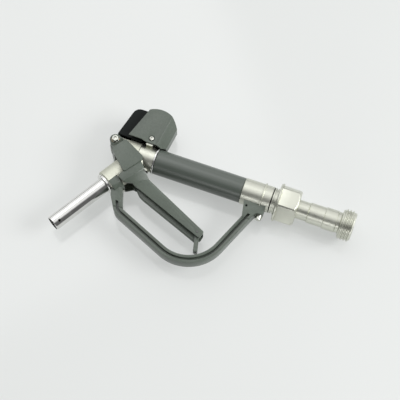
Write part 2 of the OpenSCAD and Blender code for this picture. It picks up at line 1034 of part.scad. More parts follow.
// Saddle round the rear half of the branch's end
module front_saddle() {
  intersection() {
    on_spout(foot_t - foot_len / 2)
      cylinder(r = body_r + foot_thick, h = foot_len);
    rotate([0, 0, -bend_angle])
      translate([foot_t - 20, 4, -17])
        cube([40, 40, 34]);
  }
}

module guard_front_screw() color(bright) placed()
  rotate([0, 0, -bend_angle])
    translate([foot_t - 1, 0, 0])
      rotate([-90, 0, 0]) {
        translate([0, 0, spout_r + 2])
          cylinder(r = 2.45, h = spot_d - spout_r - 2);
        translate([0, 0, spot_d])
          cylinder(r = 4.2, h = 3.5);
      }

module guard_rear_screw() color(bright) placed()
  translate([rear_screw_x, 0, 0])
    rotate([90, 0, 0]) {
      translate([0, 0, spigot_r + 2.8])
        cylinder(r = 2.45, h = 28.5 - spigot_r - 2.8);
      translate([0, 0, 28.5])
        cylinder(r = 5.4, h = 1.2);
      translate([0, 0, 29.7])
        cylinder(r = 4.7, h = 5);
    }

// swivel inlet

module swivel_body() color(steel) placed()
  difference() {
    union() {
      on_grip(grip_end + 13)
        cylinder(r = spigot_r, h = swivel_x - grip_end - 12.5);
      on_grip(swivel_x)
        cylinder(r = collar_r - 0.4, h = 2.2);
      on_grip(swivel_x + 2)
        cylinder(r = collar_r - 2, h = 3);
      on_grip(swivel_x + 4.4)
        cylinder(r = collar_r - 0.4, h = flange_x - swivel_x - 4);
      on_grip(flange_x)
        cylinder(r1 = flange_d / 2 - 1.2, r2 = flange_d / 2, h = 1.2);
      on_grip(flange_x + 1.2)
        cylinder(r = flange_d / 2, h = nut_x - flange_x - 1.2);
      on_grip(nut_x - 0.5)
        cylinder(r = union_r, h = 14.5);
    }
    on_grip(grip_end)
      cylinder(r = bore_r, h = 120);
    on_grip(race_x)
      torus(spigot_r + 0.03, race_r + 0.02);
    for (x = groove_at)
      on_grip(x)
        torus(spigot_r - 1.2, 1.22);
  }

module swivel_balls() color(bright) placed()
  for (k = [0:ball_count - 1])
    rotate([360 / ball_count * k, 0, 0])
      translate([race_x, spigot_r + 0.03, 0])
        sphere(r = race_r, $fn = 32);

module swivel_seals() color(rubber_black) placed()
  for (x = groove_at)
    on_grip(x)
      torus(spigot_r - 1.2, 1.2);

module union_nut() color(steel) placed()
  difference() {
    intersection() {
      on_grip(nut_x)
        rotate([0, 0, 30])
          cylinder(r = nut_af / sqrt(3), h = nut_len, $fn = 6);
      on_grip(nut_x)
        rotate_extrude()
          polygon([[0, 0], [nut_af / 2 + 3, 0], [nut_af / 2 + 3, nut_len - 3],
            [nut_af / 2 - 0.6, nut_len], [0, nut_len]]);
    }
    on_grip(nut_x - 1)
      cylinder(r = union_r + fit, h = nut_len - 4);
    on_grip(nut_x)
      cylinder(r = pipe_r + fit, h = nut_len + 5);
  }

module union_seal() color(rubber_black) placed()
  on_grip(nut_x + 14)
    ring_solid(bore_r, head_r, 1.5);

module inlet_adapter() color(steel) placed()
  on_grip(0)
    rotate_extrude()
      polygon([
        [bore_r, head_x],
        [head_r, head_x],
        [head_r, nut_end - 5],
        [pipe_r, nut_end - 5],
        [pipe_r, nut_end + adapter_len * 0.25],
        [pipe_mid_r, nut_end + adapter_len * 0.25 + 1],
        [pipe_mid_r, nut_end + adapter_len * 0.62],
        [pipe_end_r, nut_end + adapter_len * 0.62 + 1],
        [pipe_end_r, thread_x - 6],
        [pipe_end_r - 0.8, thread_x - 5],
        [pipe_end_r - 0.8, thread_x - 1],
        [16.5, thread_x],
        [thread_r - 1.6, thread_x],
        [thread_r, thread_x + 1.2],
        [thread_r, inlet_end],
        [bore_r, inlet_end]]);

spout_tube();
spout_ring();
spout_seal();
spout_elbow();
valve_body();
gland_nut();
stem_packing();
seat_ring();
valve_cap();
cap_seal();
valve_stem();
poppet_disc();
poppet_seal();
valve_spring();
grip_tube();
grip_sleeve();
grip_front_ring();
rear_collar();
trigger_lever();
pivot_bushes();
push_pin();
pivot_bolt();
pivot_nut();
latch_pin();
latch_clip();
hood_shell();
hood_screws();
inner_shield();
shield_screws();
guard_bow();
guard_front_screw();
guard_rear_screw();
swivel_body();
swivel_balls();
swivel_seals();
union_nut();
union_seal();
inlet_adapter();
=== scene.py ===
"""Looks of a hand-held liquid filling nozzle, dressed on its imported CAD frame."""
import logging
import math
from dataclasses import dataclass
from enum import Enum
from typing import Any, Callable, ClassVar, Optional, Sequence, Union

import bmesh
import bpy
from mathutils import Matrix, Vector


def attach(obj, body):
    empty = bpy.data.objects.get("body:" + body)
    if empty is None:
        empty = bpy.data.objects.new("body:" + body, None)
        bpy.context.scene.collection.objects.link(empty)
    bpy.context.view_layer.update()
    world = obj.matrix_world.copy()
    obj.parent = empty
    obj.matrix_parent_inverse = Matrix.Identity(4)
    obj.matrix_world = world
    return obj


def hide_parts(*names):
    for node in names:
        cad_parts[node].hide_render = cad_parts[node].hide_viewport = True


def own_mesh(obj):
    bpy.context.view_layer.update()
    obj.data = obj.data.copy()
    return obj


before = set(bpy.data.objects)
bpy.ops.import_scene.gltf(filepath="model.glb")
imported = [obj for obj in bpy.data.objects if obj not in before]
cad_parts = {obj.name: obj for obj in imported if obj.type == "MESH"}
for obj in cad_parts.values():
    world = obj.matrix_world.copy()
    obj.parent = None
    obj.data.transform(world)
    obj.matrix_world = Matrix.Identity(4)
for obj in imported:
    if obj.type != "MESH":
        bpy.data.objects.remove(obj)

LOG = logging.getLogger("nozzle")
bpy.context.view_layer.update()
MM_PER_M = 1000.0
# Where the spout's axis meets the grip's, along X in metres
BEND_X = -0.3151
# Radius in millimetres of a profile's ends on its axis, so that no points fall together
AXIS_R = 0.02

Point = tuple[float, float]
Triple = tuple[float, float, float]
Colour = Triple
Operand = Union["Field", float]
Radius = Union[float, Callable[[float], float]]

X_AXIS: Triple = (1.0, 0.0, 0.0)
Y_AXIS: Triple = (0.0, 1.0, 0.0)
Z_AXIS: Triple = (0.0, 0.0, 1.0)


def at(x: float, y: float, z: float = 0.0) -> Vector:
    """The point at these millimetres from the bend: towards the hose, off the trigger, across."""
    return Vector((BEND_X + x / MM_PER_M, y / MM_PER_M, z / MM_PER_M))


class Body(Enum):
    """Rigid bodies of the nozzle."""

    NOZZLE = "nozzle"
    TRIGGER = "trigger"
    LATCH = "latch"
    SWIVEL = "swivel"


class Slot(Enum):
    """Material slots of the record."""

    POLISHED = "polished_steel"
    BRUSHED = "brushed_steel"
    CAST = "cast_steel"
    PAINT = "grey_paint"
    SHIELD = "black_shield"
    SLEEVE = "grip_rubber"
    SEAL = "seal_rubber"
    BRONZE = "bronze"
    ZINC = "yellow_zinc"


class Wiring:
    """A node tree, with one way to add nodes to it."""

    def __init__(self, tree: bpy.types.NodeTree) -> None:
        """Takes a tree on, to work in."""
        self.tree = tree

    def add(self, kind: str, settings: Optional[dict[str, Any]] = None,
            sockets: Optional[dict[Union[int, str], Any]] = None) -> bpy.types.Node:
        """Adds one node.

        Args:
            kind: Blender's name of the node's type.
            settings: The node's own properties, which are set first.
            sockets: Inputs by name or number, each with a value, a field or an output to link.

        Returns:
            The node.
        """
        made = self.tree.nodes.new(kind)
        for name, value in (settings or {}).items():
            setattr(made, name, value)
        for name, value in (sockets or {}).items():
            source = value.socket if isinstance(value, Field) else value
            if isinstance(source, bpy.types.NodeSocket):
                self.tree.links.new(source, made.inputs[name])
            else:
                made.inputs[name].default_value = source
        return made

    def dot(self, place: bpy.types.NodeSocket, axis: Vector) -> "Field":
        """Distance of a place, given by a vector socket, along an axis."""
        made = self.add("ShaderNodeVectorMath", {"operation": "DOT_PRODUCT"}, {0: place, 1: axis})
        return Field(self, made.outputs["Value"])


class Field:
    """A shader value with ordinary arithmetic."""

    def __init__(self, wiring: Wiring, socket: bpy.types.NodeSocket) -> None:
        """Wraps an output socket and the tree that holds it."""
        self.wiring = wiring
        self.socket = socket

    def _math(self, operation: str, first: Operand, second: Operand) -> "Field":
        """Adds one Math node, with Blender's name of its operation."""
        made = self.wiring.add("ShaderNodeMath", {"operation": operation}, {0: first, 1: second})
        return Field(self.wiring, made.outputs[0])

    def __add__(self, other: Operand) -> "Field":
        """This value plus another."""
        return self._math("ADD", self, other)

    def __radd__(self, other: float) -> "Field":
        """A number plus this value."""
        return self._math("ADD", other, self)

    def __sub__(self, other: Operand) -> "Field":
        """This value less another."""
        return self._math("SUBTRACT", self, other)

    def __rsub__(self, other: float) -> "Field":
        """A number less this value."""
        return self._math("SUBTRACT", other, self)

    def __mul__(self, other: Operand) -> "Field":
        """This value times another."""
        return self._math("MULTIPLY", self, other)

    def __rmul__(self, other: float) -> "Field":
        """A number times this value."""
        return self._math("MULTIPLY", other, self)

    def smooth(self, low: float, high: float) -> "Field":
        """Eases from 0 to 1 as this value goes from low to high."""
        made = self.wiring.add("ShaderNodeMapRange", {"interpolation_type": "SMOOTHSTEP"},
                               {"Value": self, "From Min": low, "From Max": high})
        return Field(self.wiring, made.outputs["Result"])


class Canvas:
    """A material while it is being made."""

    def __init__(self, name: str) -> None:
        """Starts a material with one shader.

        Args:
            name: Name of the material.
        """
        self.material = bpy.data.materials.new(name)
        self.material.use_nodes = True
        self.wiring = Wiring(self.material.node_tree)
        self.shader = self.material.node_tree.nodes["Principled BSDF"]
        self._object: Optional[bpy.types.NodeSocket] = None
        self._normal: Optional[bpy.types.NodeSocket] = None

    def place(self) -> bpy.types.NodeSocket:
        """The object's own coordinates, in metres.

        Returns:
            The vector socket.
        """
        if self._object is None:
            self._object = self.wiring.add("ShaderNodeTexCoord").outputs["Object"]
        return self._object

    def along(self, axis: Vector) -> Field:
        """Distance along an axis, in metres."""
        return self.wiring.dot(self.place(), axis)

    def noise(self, scale: float, detail: float = 3.0, rough: float = 0.55,
              stretch: Triple = (1.0, 1.0, 1.0), turn: float = 0.0) -> Field:
        """Noise in space.

        Args:
            scale: Grains per metre.
            detail: Octaves.
            rough: Weight of the fine octaves.
            stretch: Scale of each axis.
            turn: Turn about Z before the stretch, in radians.

        Returns:
            The noise, from 0 to 1.
        """
        mapping = self.wiring.add("ShaderNodeMapping", {"vector_type": "TEXTURE"}, {
            "Vector": self.place(), "Rotation": (0.0, 0.0, turn),
            "Scale": [1.0 / share for share in stretch]})
        made = self.wiring.add("ShaderNodeTexNoise", None, {
            "Vector": mapping.outputs["Vector"], "Scale": scale, "Detail": detail,
            "Roughness": rough})
        return Field(self.wiring, made.outputs["Fac"])

    def rings(self, axis: Vector, scale: float, detail: float) -> Field:
        """Noise that changes only along an axis, as turning marks do; scale in marks per metre."""
        made = self.wiring.add("ShaderNodeTexNoise", {"noise_dimensions": "1D"}, {
            "W": self.along(axis), "Scale": scale, "Detail": detail})
        return Field(self.wiring, made.outputs["Fac"])

    def attribute(self, name: str) -> Field:
        """A value stored on the mesh as a named attribute."""
        made = self.wiring.add("ShaderNodeAttribute", {"attribute_name": name})
        return Field(self.wiring, made.outputs["Fac"])

    def colour(self, first: Colour, second: Colour, amount: Field,
               third: Optional[Colour] = None, more: Optional[Field] = None) -> None:
        """Paints the base colour as a mix.

        Args:
            first: Colour where the amount is 0.
            second: Colour where the amount is 1.
            amount: Mix of the two.
            third: Colour laid over both.
            more: Amount of the third colour.
        """
        result = self._mix((*first, 1.0), second, amount)
        if third is not None and more is not None:
            result = self._mix(result, third, more)
        self.link("Base Color", result)

    def _mix(self, first: Any, second: Colour, amount: Field) -> bpy.types.NodeSocket:
        """Mixes a colour into a first one, which is a colour with its alpha or a socket."""
        # A Mix node has inputs and outputs for every data type: 6, 7 and 2 are the colours
        made = self.wiring.add("ShaderNodeMix", {"data_type": "RGBA"},
                               {0: amount, 6: first, 7: (*second, 1.0)})
        return made.outputs[2]

    def drive(self, name: str, value: Field) -> None:
        """Links a value to an input of the shader."""
        self.link(name, value.socket)

    def link(self, name: str, socket: bpy.types.NodeSocket) -> None:
        """Links an output to an input of the shader."""
        self.wiring.tree.links.new(socket, self.shader.inputs[name])

    def fix(self, **values: Any) -> None:
        """Sets inputs of the shader, named with underscores for spaces, to plain values."""
        for name, value in values.items():
            self.shader.inputs[name.replace("_", " ")].default_value = value

    def bump(self, height: Field, depth: float, strength: float) -> None:
        """Adds relief on top of any that is there.

        Args:
            height: Relief from 0 to 1.
            depth: Real depth of the relief, in metres.
            strength: Share of the relief that shows.
        """
        sockets = {"Strength": strength, "Distance": depth, "Height": height}
        if self._normal is not None:
            sockets["Normal"] = self._normal
        self._normal = self.wiring.add("ShaderNodeBump", None, sockets).outputs["Normal"]
        self.link("Normal", self._normal)


@dataclass(frozen=True)
class Finish:
    """A finish that pieces can be given."""

    name: str
    slot: Slot
    colour: Colour
    roughness: float
    # Darkest and lightest share of the colour
    tones: ClassVar[Point] = (1.0, 1.0)
    # Roughness taken off before the surface's own change is added
    drop: ClassVar[float] = 0.0

    def material(self) -> bpy.types.Material:
        """Makes the finish's material, or finds it.

        Returns:
            The material.
        """
        known = bpy.data.materials.get(self.name)
        if known is not None:
            return known
        canvas = Canvas(self.name)
        self.lay(canvas)
        return canvas.material

    def lay(self, canvas: Canvas) -> None:
        """Lays the finish on a material that is being made."""
        raise NotImplementedError

    def shade(self, factor: float) -> Colour:
        """The finish's colour, made lighter or darker by a factor."""
        return tuple(min(1.0, part * factor) for part in self.colour)

    def tint(self, canvas: Canvas, amount: Field, over: Optional[Colour] = None,
             cover: Optional[Field] = None) -> None:
        """Paints the finish's darkest and lightest tones, mixed, and a colour that covers them."""
        dark, light = self.tones
        canvas.colour(self.shade(dark), self.shade(light), amount, over, cover)

    def gleam(self, canvas: Canvas, change: Field) -> None:
        """Varies the roughness round the finish's own."""
        canvas.drive("Roughness", change + (self.roughness - self.drop))

    def put_on(self, *objects: bpy.types.Object) -> None:
        """Gives objects this finish only.

        Args:
            objects: Objects to be dressed.
        """
        for obj in objects:
            obj.data.materials.clear()
            obj.data.materials.append(self.material())


@dataclass(frozen=True)
class PowderCoat(Finish):
    """Satin powder coat with orange peel and rubbed edges."""

    worn: Colour = (0.36, 0.37, 0.36)
    gloss: float = 0.5
    tones: ClassVar[Point] = (0.90, 1.10)
    drop: ClassVar[float] = 0.03
    peel_depth: ClassVar[float] = 0.00008

    def lay(self, canvas: Canvas) -> None:
        """Lays the coat: clouds and specks, rubbed edges, orange peel.

        Args:
            canvas: Material that is being made.
        """
        clouds = canvas.noise(scale=34.0, detail=4.0)
        specks = canvas.noise(scale=420.0, detail=3.0)
        wear = canvas.noise(scale=260.0, detail=4.0, rough=0.7).smooth(0.42, 0.66)
        haze = canvas.noise(scale=90.0, detail=5.0)
        peel = canvas.noise(scale=1100.0, detail=2.0, rough=0.4)
        rub = canvas.attribute("edge") * wear
        tone = clouds * 0.45 + specks * 0.55
        self.tint(canvas, tone.smooth(0.36, 0.64), self.worn, rub * 0.35)
        self.gleam(canvas, haze * 0.06 - rub * 0.05)
        canvas.fix(Specular_IOR_Level=self.gloss, Metallic=0.0)
        canvas.bump(peel, self.peel_depth, strength=0.4)


@dataclass(frozen=True)
class TurnedSteel(Finish):
    """Stainless steel with turning marks round an axis."""

    axis: Triple = X_AXIS
    joints: tuple[float, ...] = ()
    tones: ClassVar[Point] = (0.95, 1.04)
    drop: ClassVar[float] = 0.08
    grime: ClassVar[Colour] = (0.02, 0.02, 0.018)
    # Squared half widths of a grimy joint, where it is full and where it ends
    joint_full: ClassVar[float] = 1.5e-7
    joint_end: ClassVar[float] = 9e-7
    mark_depth: ClassVar[float] = 0.000010

    def lay(self, canvas: Canvas) -> None:
        """Lays the steel: marks, handling haze, grime in the joints.

        Args:
            canvas: Material that is being made.
        """
        axis = Vector(self.axis)
        fine = canvas.rings(axis, scale=2600.0, detail=5.0)
        broad = canvas.rings(axis, scale=240.0, detail=3.0)
        haze = canvas.noise(scale=60.0, detail=5.0, rough=0.6)
        grimy: Optional[Field] = None
        for place in self.joints:
            apart = canvas.along(axis) - place
            joint = 1.0 - (apart * apart).smooth(self.joint_full, self.joint_end)
            grimy = joint if grimy is None else grimy + joint
        self.tint(canvas, fine * 0.5 + broad * 0.5, self.grime, grimy)
        self.gleam(canvas, haze.smooth(0.3, 0.75) * 0.14 + fine * 0.05)
        canvas.fix(Metallic=1.0)
        canvas.bump(fine, self.mark_depth, strength=0.5)


@dataclass(frozen=True)
class CastSteel(Finish):
    """Bead-blasted casting with a soft, slightly warm skin."""

    tones: ClassVar[Point] = (0.96, 1.03)
    drop: ClassVar[float] = 0.05
    pit_depth: ClassVar[float] = 0.000012
    wave_depth: ClassVar[float] = 0.0002

    def lay(self, canvas: Canvas) -> None:
        """Lays the casting: warm tone, fine pits, slow waves.

        Args:
            canvas: Material that is being made.
        """
        tone = canvas.noise(scale=45.0, detail=4.0)
        pits = canvas.noise(scale=1500.0, detail=2.0, rough=0.5)
        waves = canvas.noise(scale=120.0, detail=1.0, rough=0.3)
        self.tint(canvas, tone.smooth(0.3, 0.7))
        self.gleam(canvas, tone * 0.06 + pits * 0.05)
        canvas.fix(Metallic=1.0)
        canvas.bump(pits, self.pit_depth, strength=0.4)
        canvas.bump(waves, self.wave_depth, strength=0.12)


@dataclass(frozen=True)
class Polished(Finish):
    """Bright polished steel with faint wipe marks."""

    turn: float = 0.0
    tones: ClassVar[Point] = (0.94, 1.03)
    drop: ClassVar[float] = 0.04
    wipe_stretch: ClassVar[Triple] = (0.02, 1.0, 1.0)
    wipe_depth: ClassVar[float] = 0.00002

    def lay(self, canvas: Canvas) -> None:
        """Lays the polish: wipe marks along the piece, smudges.

        Args:
            canvas: Material that is being made.
        """
        wipe = canvas.noise(scale=420.0, detail=3.0, rough=0.6, stretch=self.wipe_stretch,
                            turn=self.turn)
        smudge = canvas.noise(scale=75.0, detail=5.0, rough=0.6)
        self.tint(canvas, smudge.smooth(0.35, 0.7))
        self.gleam(canvas, smudge.smooth(0.45, 0.8) * 0.08 + wipe * 0.06)
        canvas.fix(Metallic=1.0)
        canvas.bump(wipe, self.wipe_depth, strength=0.35)


@dataclass(frozen=True)
class SleeveSkin(Finish):
    """Moulded charcoal sleeve with a silky, slightly rubbed skin."""

    gloss: float = 0.8
    tones: ClassVar[Point] = (0.86, 1.15)
    drop: ClassVar[float] = 0.06
    streak_stretch: ClassVar[Triple] = (0.03, 1.0, 1.0)
    grain_depth: ClassVar[float] = 0.00003
    streak_depth: ClassVar[float] = 0.00005

    def lay(self, canvas: Canvas) -> None:
        """Lays the skin: lengthwise streaks, fine grain, rubbed patches.

        Args:
            canvas: Material that is being made.
        """
        streak = canvas.noise(scale=260.0, detail=4.0, rough=0.6, stretch=self.streak_stretch)
        patch = canvas.noise(scale=26.0, detail=4.0)
        grain = canvas.noise(scale=2400.0, detail=2.0, rough=0.5)
        self.tint(canvas, streak * 0.7 + patch * 0.3)
        self.gleam(canvas, patch.smooth(0.3, 0.75) * 0.06 + streak * 0.06)
        canvas.fix(Specular_IOR_Level=self.gloss)
        canvas.bump(grain, self.grain_depth, strength=0.3)
        canvas.bump(streak, self.streak_depth, strength=0.25)


@dataclass(frozen=True)
class Rubber(Finish):
    """Plain black seal rubber."""

    tones: ClassVar[Point] = (0.8, 1.5)
    drop: ClassVar[float] = 0.1
    grain_depth: ClassVar[float] = 0.00005

    def lay(self, canvas: Canvas) -> None:
        """Lays the rubber: bloom and grain.

        Args:
            canvas: Material that is being made.
        """
        bloom = canvas.noise(scale=160.0, detail=4.0)
        grain = canvas.noise(scale=1800.0, detail=2.0)
        self.tint(canvas, bloom.smooth(0.4, 0.75))
        self.gleam(canvas, bloom * 0.2)
        canvas.bump(grain, self.grain_depth, strength=0.4)


@dataclass(frozen=True)
class Plated(Finish):
    """Coloured metal, such as yellow passivated zinc or bronze."""

    drift: Colour = (0.50, 0.36, 0.26)
    drop: ClassVar[float] = 0.1
    stain_tone: ClassVar[float] = 0.55
    stain_depth: ClassVar[float] = 0.00004

    def lay(self, canvas: Canvas) -> None:
        """Lays the metal: drifting hue, stains, fine marks.

        Args:
            canvas: Material that is being made.
        """
        hue = canvas.noise(scale=190.0, detail=3.0, rough=0.5)
        stain = canvas.noise(scale=420.0, detail=5.0, rough=0.65)
        canvas.colour(self.colour, self.drift, hue.smooth(0.4, 0.65),
                      self.shade(self.stain_tone), stain.smooth(0.62, 0.8) * 0.5)
        self.gleam(canvas, stain * 0.2)
        canvas.fix(Metallic=1.0)
        canvas.bump(stain, self.stain_depth, strength=0.4)


class Palette:
    """All finishes of the nozzle."""

    neck_seam = at(-3.5, 0.0).x
    swivel_gap = at(195.8, 0.0).x
    spout_turn = math.radians(-120.0)

    paint = PowderCoat("paint_grey", Slot.PAINT, (0.079, 0.096, 0.078), 0.31)
    # The shield's near-black colour is painted shade: it darkens the hollow under the hood as its
    # shadow would.
    shield = PowderCoat("shield_painted_shade", Slot.SHIELD, (0.008, 0.0105, 0.0098), 0.50,
                        worn=(0.05, 0.05, 0.05), gloss=0.12)
    neck = TurnedSteel("steel_turned", Slot.BRUSHED, (0.63, 0.64, 0.565), 0.38,
                       joints=(neck_seam, swivel_gap))
    inlet = TurnedSteel("steel_inlet", Slot.BRUSHED, (0.62, 0.63, 0.555), 0.37,
                        joints=(swivel_gap,))
    valve = TurnedSteel("steel_valve", Slot.BRUSHED, (0.62, 0.62, 0.60), 0.28, axis=Y_AXIS)
    gland = TurnedSteel("steel_gland", Slot.BRUSHED, (0.13, 0.135, 0.13), 0.40, axis=Y_AXIS)
    cast = CastSteel("steel_cast", Slot.CAST, (0.68, 0.69, 0.60), 0.60)
    spout = Polished("steel_spout", Slot.POLISHED, (0.80, 0.80, 0.78), 0.10, turn=spout_turn)
    bright = Polished("steel_bright", Slot.POLISHED, (0.78, 0.78, 0.77), 0.16)
    fastener = Polished("steel_fastener", Slot.POLISHED, (0.56, 0.57, 0.52), 0.26)
    dark = Polished("steel_dark", Slot.POLISHED, (0.12, 0.125, 0.12), 0.34)
    sleeve = SleeveSkin("sleeve_charcoal", Slot.SLEEVE, (0.067, 0.080, 0.068), 0.31)
    seal = Rubber("seal_black", Slot.SEAL, (0.02, 0.02, 0.02), 0.6)
    bronze = Plated("bush_bronze", Slot.BRONZE, (0.52, 0.34, 0.14), 0.34,
                    drift=(0.44, 0.26, 0.10))
    zinc = Plated("zinc_yellow", Slot.ZINC, (0.62, 0.47, 0.22), 0.32,
                  drift=(0.60, 0.40, 0.32))


def node(name: str) -> bpy.types.Object:
    """The object of a CAD node."""
    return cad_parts[name]


def new_object(name: str, mesh: bpy.types.Mesh) -> bpy.types.Object:
    """Adds a mesh to the scene as an object at the origin.

    Args:
        name: Name of the object.
        mesh: Its mesh.

    Returns:
        The object.
    """
    obj = bpy.data.objects.new(name, mesh)
    bpy.context.scene.collection.objects.link(obj)
    return obj


def smooth_object(name: str, shape: bmesh.types.BMesh, crease: float) -> bpy.types.Object:
    """Turns an edited shape into a smooth object.

    Args:
        name: Name of the object.
        shape: The shape, which is freed.
        crease: Angle in degrees past which an edge stays sharp.

    Returns:
        The object.
    """
    for face in shape.faces:
        face.smooth = True
    data = bpy.data.meshes.new(name)
    shape.to_mesh(data)
    shape.free()
    data.set_sharp_from_angle(angle=math.radians(crease))
    return new_object(name, data)


def settle(obj: bpy.types.Object, body: Body, finish: Finish, *nodes: str) -> bpy.types.Object:
    """Dresses a new piece and ties it to the frame.

    Args:
        obj: The piece.
        body: Body that carries it.
        finish: Finish that it gets.
        nodes: CAD nodes that it stands for.

    Returns:
        The same piece.
    """
    finish.put_on(obj)
    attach(obj, body.value)
    if nodes:
        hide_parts(*nodes)
    LOG.info("piece %s on %s: %s", obj.name, body.value, finish.name)
    return obj


@dataclass(frozen=True)
class EdgeSoftener:
    """Rounds the sharp edges of a CAD node, as castings and sheet have; angles in degrees."""

    width: float
    segments: int = 3
    angle: float = 28.0
    weld: ClassVar[float] = 2e-6
    flat: ClassVar[float] = 0.6
    crease: ClassVar[float] = 38.0

    def soften(self, name: str, body: Body, finish: Finish) -> bpy.types.Object:
        """Makes a rounded copy of a node, which stands for it.

        Args:
            name: The node's name.
            body: Body that carries it.
            finish: Finish that it gets.

        Returns:
            The rounded piece.
        """
        shape = bmesh.new()
        shape.from_mesh(node(name).data)
        worn = shape.faces.layers.float.new("edge")
        bmesh.ops.remove_doubles(shape, verts=shape.verts, dist=self.weld)
        bmesh.ops.dissolve_limit(shape, angle_limit=math.radians(self.flat), verts=shape.verts,
                                 edges=shape.edges)
        limit = math.radians(self.angle)
        sharp = [edge for edge in shape.edges if len(edge.link_faces) == 2 and edge.is_convex
                 and edge.calc_face_angle(0.0) > limit]
        made = bmesh.ops.bevel(shape, geom=sharp, offset=self.width, offset_type="OFFSET",
                               segments=self.segments, profile=0.5, affect="EDGES",
                               clamp_overlap=True)
        for face in made["faces"]:
            face[worn] = 1.0
        return settle(smooth_object(f"{name}_soft", shape, self.crease), body, finish, name)


@dataclass(frozen=True)
class Lathe:
    """Turns a profile round an axis."""

    origin: Vector
    axis: Vector
    steps: int = 128
    crease: ClassVar[float] = 32.0

    def turn(self, name: str, profile: Sequence[tuple[float, Radius]]) -> bpy.types.Object:
        """Makes a closed turned piece.

        Args:
            name: Name of the piece.
            profile: Closed loop of (distance along the axis, radius), in millimetres; a
                radius may be a function of the angle.

        Returns:
            The new object.
        """
        axis = self.axis.normalized()
        side = axis.orthogonal().normalized()
        other = axis.cross(side)
        shape = bmesh.new()
        rows: list[list[bmesh.types.BMVert]] = []
        for step in range(self.steps):
            angle = 2.0 * math.pi * step / self.steps
            out = side * math.cos(angle) + other * math.sin(angle)
            radii = [(t, r(angle) if callable(r) else r) for t, r in profile]
            rows.append([shape.verts.new(self.origin + (axis * t + out * r) / MM_PER_M)
                         for t, r in radii])
        count = len(profile)
        for step in range(self.steps):
            row, after = rows[step], rows[(step + 1) % self.steps]
            for k in range(count):
                ahead = (k + 1) % count
                shape.faces.new((row[k], row[ahead], after[ahead], after[k]))
        bmesh.ops.recalc_face_normals(shape, faces=shape.faces)
        return smooth_object(name, shape, self.crease)


def hexagon(flats: float) -> Callable[[float], float]:
    """Radius of a hexagon, given its width across flats, as a function of the angle."""
    sixth = math.pi / 3.0
    return lambda angle: flats / 2.0 / math.cos(angle % sixth - sixth / 2.0)


@dataclass(frozen=True)
class SocketScrew:
    """Button-head screw with a hexagon socket, at both sides of the nozzle; in millimetres."""

    centre: Point
    face: float
    head_radius: float = 3.6
    head_height: float = 2.0
    rim_height: float = 0.9
    rim_draft: float = 0.12
    crown_radius: float = 3.0
    crown_round: float = 0.35
    shank_radius: float = 1.95
    shank_end: float = 13.0
    socket: float = 2.8
    socket_lip: float = 0.55
    socket_lead: float = 0.25
    socket_wall: float = 1.3
    socket_depth: float = 1.5
    steps: ClassVar[int] = 96

    def build(self, name: str, side: float) -> bpy.types.Object:
        """Turns one screw.

        Args:
            name: Name of the piece.
            side: 1 for the near side, -1 for the far side.

        Returns:
            The new object.
        """
        top = self.face + self.head_height
        key = hexagon(self.socket)
        profile = [
            (self.shank_end, AXIS_R), (self.shank_end, self.shank_radius),
            (self.face, self.shank_radius), (self.face, self.head_radius),
            (self.face + self.rim_height, self.head_radius - self.rim_draft),
            (top - self.crown_round, self.crown_radius + self.rim_draft),
            (top, self.crown_radius - self.crown_round),
            (top, self.socket / 2.0 + self.socket_lip), (top - self.socket_lead, key),
            (top - self.socket_wall, key), (top - self.socket_depth, AXIS_R)]
        return Lathe(at(*self.centre), Vector(Z_AXIS) * side, self.steps).turn(name, profile)


@dataclass(frozen=True)
class HexBolt:
    """Bolt with a chamfered hexagon head and a socket, on a flange; in millimetres.

    A chamfer is (length along the axis, depth towards it).
    """

    centre: Point
    start: float
    seat: float
    flange_radius: float = 5.2
    flange_height: float = 1.2
    flange_foot: Point = (0.25, 0.15)
    flange_top: Point = (0.35, 0.1)
    flats: float = 8.487
    head_height: float = 3.2
    head_chamfer: Point = (0.5, 0.45)
    shank_radius: float = 4.0
    shank_chamfer: Point = (0.5, 0.4)
    socket: float = 4.0
    socket_rim: float = 2.9
    socket_lead: float = 0.3
    socket_wall: float = 1.9
    socket_depth: float = 2.1
    steps: ClassVar[int] = 96

    def build(self, name: str) -> bpy.types.Object:
        """Turns the bolt.

        Args:
            name: Name of the piece.

        Returns:
            The new object.
        """
        hexed = hexagon(self.flats)
        slim = hexagon(self.flats - 2.0 * self.head_chamfer[1])
        key = hexagon(self.socket)
        foot = self.seat + self.flange_height
        top = foot + self.head_height
        profile = [
            (self.start, AXIS_R), (self.start, self.shank_radius - self.shank_chamfer[1]),
            (self.start + self.shank_chamfer[0], self.shank_radius),
            (self.seat, self.shank_radius),
            (self.seat, self.flange_radius - self.flange_foot[1]),
            (self.seat + self.flange_foot[0], self.flange_radius),
            (foot - self.flange_top[0], self.flange_radius - self.flange_top[1]),
            (foot, hexed), (top - self.head_chamfer[0], hexed), (top, slim),
            (top, self.socket_rim), (top - self.socket_lead, key), (top - self.socket_wall, key),
            (top - self.socket_depth, AXIS_R)]
        return Lathe(at(*self.centre), Vector(Z_AXIS), self.steps).turn(name, profile)


